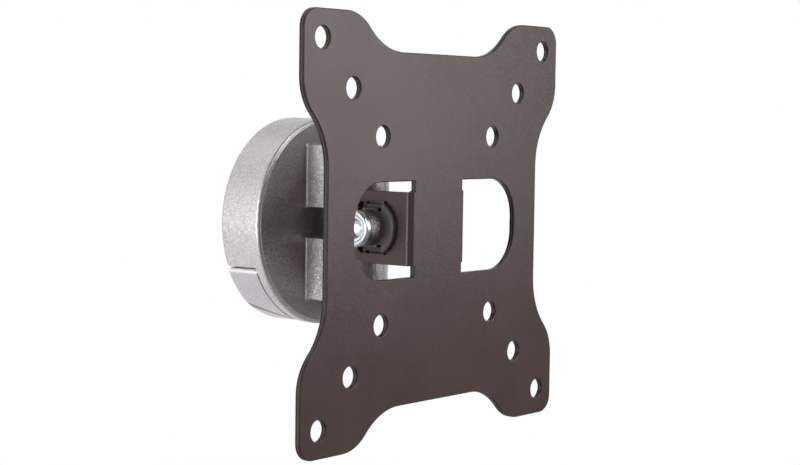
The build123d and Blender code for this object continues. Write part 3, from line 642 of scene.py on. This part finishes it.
def flat_washer(name, axis, centre, near, far, outer, bore):
    """Stamped washer, a ring whose section is a flat bar: rolled over in quarter ellipses
    at the far face, crisp at the near one."""
    s = Section(144)
    away = 1 if far > near else -1
    roll = 0.30 * abs(far - near)
    s.to(near, bore + 0.06).to(near, outer - 0.08).to(near + away * 0.06, outer)
    s.rows(*arc_rows(far - away * roll, outer, far, outer - 1.4 * roll, 7, radius_first=False))
    s.rows(*arc_rows(far, bore + roll, far - away * roll, bore, 6))
    s.to(near + away * 0.06, bore)
    return turned_piece(name, s, centre, axis, poles=False)


def grub_screw(name, centre, top, point):
    """Set screw, its rows turned round Z: socket, rounded top, thread and cone point."""
    s = Section(144)
    socket_rows(s, top, -1, key=2.0, depth=1.3)
    s.to(top, 1.45).to(top - 0.25, 1.75)
    thread_rows(s, top - 0.3, point + 1.5, 2.0, 0.7, fade_in=0.3)
    s.to(point + 1.4, 1.9).to(point, 0.6).to(point, 0.05)
    return turned_piece(name, s, centre, "Z")


def mm_of(name, axis):
    """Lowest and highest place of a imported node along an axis, in millimetres."""
    low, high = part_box(name)
    return low["XYZ".index(axis)] / MM, high["XYZ".index(axis)] / MM


# tilt bolt: its head faces left, its tail stands out of the nut on the right
low, high = mm_of("tilt_bolt", "X")
nut_low, nut_high = mm_of("tilt_nut", "X")
dress(cap_screw("tilt_cap_screw", "X", TILT_AXIS, low, high, thread_from=nut_low - 1.0,
                head_r=5.0, head_h=6.1, key=5.0, key_depth=3.2, shank_r=3.0, pitch=1.0,
                dish=3.9, dish_depth=0.45),
      "screen", tilt_zinc, "tilt_bolt")
dress(hex_nut("tilt_hex_nut", "X", TILT_AXIS, nut_low, nut_high, flats=10.0, bore=3.15, corner=5.4),
      "screen", tilt_zinc, "tilt_nut")
dress(flat_washer("tilt_flat_washer", "X", TILT_AXIS, *mm_of("tilt_washer", "X"), outer=6.0, bore=3.15),
      "screen", tilt_zinc, "tilt_washer")

# swivel bolt: its low head lies on the upper ear, its nut in the lower one
low, high = mm_of("swivel_bolt", "Z")
nut_low, nut_high = mm_of("swivel_nut", "Z")
dress(cap_screw("swivel_cap_screw", "Z", SWIVEL_AXIS, high, low, thread_from=nut_high + 2.0,
                head_r=6.5, head_h=5.0, key=5.0, key_depth=3.0, shank_r=4.0, pitch=1.25, ribs=78),
      "base", swivel_zinc, "swivel_bolt")
dress(hex_nut("swivel_hex_nut", "Z", SWIVEL_AXIS, nut_high, nut_low, flats=13.0, bore=4.15),
      "base", swivel_zinc, "swivel_nut")
dress(flat_washer("swivel_flat_washer", "Z", SWIVEL_AXIS, *mm_of("swivel_washer", "Z"), outer=8.0, bore=4.15),
      "base", swivel_zinc, "swivel_washer")

# lock screw under the cover and set screw in the top of the rim
low, high = mm_of("lock_screw", "Z")
dress(cap_screw("lock_cap_screw", "Z", LOCK_AXIS, low, high, thread_from=low + 4.0, head_r=3.5, head_h=2.4,
                key=2.5, key_depth=1.5, shank_r=2.0, pitch=0.7, edge=0.4, ribs=48),
      "base", swivel_zinc, "lock_screw")
low, high = mm_of("top_set_screw", "Z")
dress(grub_screw("top_grub_screw", SET_AXIS, high, low), "base", swivel_steel, "top_set_screw")


# Studio and camera

MIDDLE = Vector((0, -0.03, 0))      # of the object, about halfway from the wall to the plate


def towards(azimuth, elevation):
    """Direction from the object, both in degrees: azimuth 0 is straight out from the
    wall and turns to the right, elevation is up."""
    a, e = math.radians(azimuth), math.radians(elevation)
    return Vector((math.sin(a) * math.cos(e), -math.cos(a) * math.cos(e), math.sin(e)))


def soft_lamp(name, azimuth, elevation, size, power, colour=(1, 1, 1), distance=0.75):
    """A square lamp at that distance from the middle of the object, facing it."""
    lamp = bpy.data.lights.new(name, "AREA")
    lamp.size = size
    lamp.energy = power
    lamp.color = colour
    holder = bpy.data.objects.new(name, lamp)
    bpy.context.scene.collection.objects.link(holder)
    away = towards(azimuth, elevation)
    holder.location = MIDDLE + distance * away
    holder.rotation_euler = (-away).to_track_quat("-Z", "Y").to_euler()


def pale_room(panels, dim=0.07, plain=0.10):
    """A world that is white where the camera sees it. Mirrored rays see soft white panels
    in a dim room: each is given by its azimuth and elevation, the cosines to its middle
    where it starts and where it is full, and its level. Other rays get the plain level."""
    world = bpy.data.worlds.new("pale_room")
    bpy.context.scene.world = world
    world.use_nodes = True
    room = world.node_tree
    room.nodes.clear()
    seen, mirrored = rays(room)
    direction = node(room, "TexCoord").outputs["Generated"]
    brightest = 0.0
    for azimuth, elevation, start, full, level in panels:
        facing = likeness(room, direction, towards(azimuth, elevation))
        panel = ramp(room, facing, start, full, dim, level, soft=True)
        brightest = math_node(room, "MAXIMUM", brightest, panel)
    plain_part = product(room, math_node(room, "SUBTRACT", 1.0, mirrored), plain)
    unseen = math_node(room, "ADD", product(room, mirrored, brightest), plain_part)
    strength = math_node(room, "MAXIMUM", seen, unseen)
    light = node(room, "Background", {"Strength": strength, "Color": (1, 1, 1, 1)})
    feed(room, node(room, "OutputWorld").inputs[0], light.outputs[0])


def pale_floor(height, radius):
    """A pale disc that keeps the object's soft shadow, and turns into the room's white
    towards its rim. Mirrored rays see it white behind the object."""
    turns = np.arange(72) * (2 * math.pi / 72)
    ground = bpy.data.meshes.new("floor")
    ground.from_pydata([(radius * math.cos(t), radius * math.sin(t), height) for t in turns],
                       [], [tuple(range(72))])
    floor = bpy.data.objects.new("floor", ground)
    bpy.context.scene.collection.objects.link(floor)
    pale = bpy.data.materials.new("pale_floor")
    pale.use_nodes = True
    tree = pale.node_tree
    tree.nodes.clear()
    spot = node(tree, "TexCoord").outputs["Object"]
    seen, mirrored = rays(tree)
    white = ramp(tree, length_of(tree, spot, (1, 1, 0)), 0.14, 0.34, low=0.45, soft=True)
    behind = ramp(tree, parts_of(tree, spot)[1], 0.02, 0.11, soft=True)
    share = math_node(tree, "MAXIMUM", product(tree, mirrored, behind), product(tree, seen, white))
    matt = node(tree, "BsdfDiffuse", {"Color": (0.86, 0.86, 0.86, 1)}).outputs[0]
    bright = node(tree, "Emission", {"Color": (1, 1, 1, 1), "Strength": 1.0}).outputs[0]
    both = node(tree, "MixShader", {0: share, 1: matt, 2: bright}).outputs[0]
    feed(tree, node(tree, "OutputMaterial").inputs[0], both)
    ground.materials.append(pale)


def photo_camera(azimuth, lift, roll, away, leftwards, downwards, aim, focal, width):
    """A camera at the photograph's place: it looks at aim from that direction and distance,
    rolled, and moved a little across its view. focal and width are in its pixels."""
    back = towards(azimuth, lift)
    right = (-back).cross(Vector((0, 0, 1))).normalized()
    upward = right.cross(-back)
    c, s = math.cos(math.radians(roll)), math.sin(math.radians(roll))
    side, top = c * right + s * upward, c * upward - s * right
    stand = back * away - right * leftwards - upward * downwards + aim
    lens = bpy.data.cameras.new("photo_camera")
    lens.sensor_width = 36.0
    lens.lens = lens.sensor_width * focal / width
    lens.clip_start, lens.clip_end = 0.05, 20
    camera = bpy.data.objects.new("photo_camera", lens)
    bpy.context.scene.collection.objects.link(camera)
    camera.matrix_world = Matrix(((side.x, top.x, back.x, stand.x), (side.y, top.y, back.y, stand.y),
                                  (side.z, top.z, back.z, stand.z), (0, 0, 0, 1)))
    bpy.context.scene.camera = camera


soft_lamp("left_lamp", -98, -2, size=0.28, power=2.0)
soft_lamp("back_lamp", -165, 55, size=0.45, power=0.7)
soft_lamp("right_lamp", 38, 13, size=0.46, power=2.85, colour=(1.0, 0.93, 0.94))
soft_lamp("front_lamp", -23, 28, size=0.24, power=0.65)
# panels to the left and to the right behind the object, a weaker one by the camera, and a
# small bright one high over the plate, which lights the line on the base's round rim
pale_room([(-130, 14, 0.74, 0.95, 1.0), (128, 4, 0.48, 0.9, 1.0), (-38, 8, 0.78, 0.97, 0.38),
           (8, 44, 0.91, 0.98, 3.4)])
pale_floor(height=-0.135, radius=0.36)
photo_camera(azimuth=-52.178, lift=3.663, roll=0.821, away=0.497286, leftwards=0.010644, downwards=0.001454,
             aim=Vector((0, -0.053604, 0)), focal=1810, width=800)
bpy.context.scene.view_settings.view_transform = "Standard"
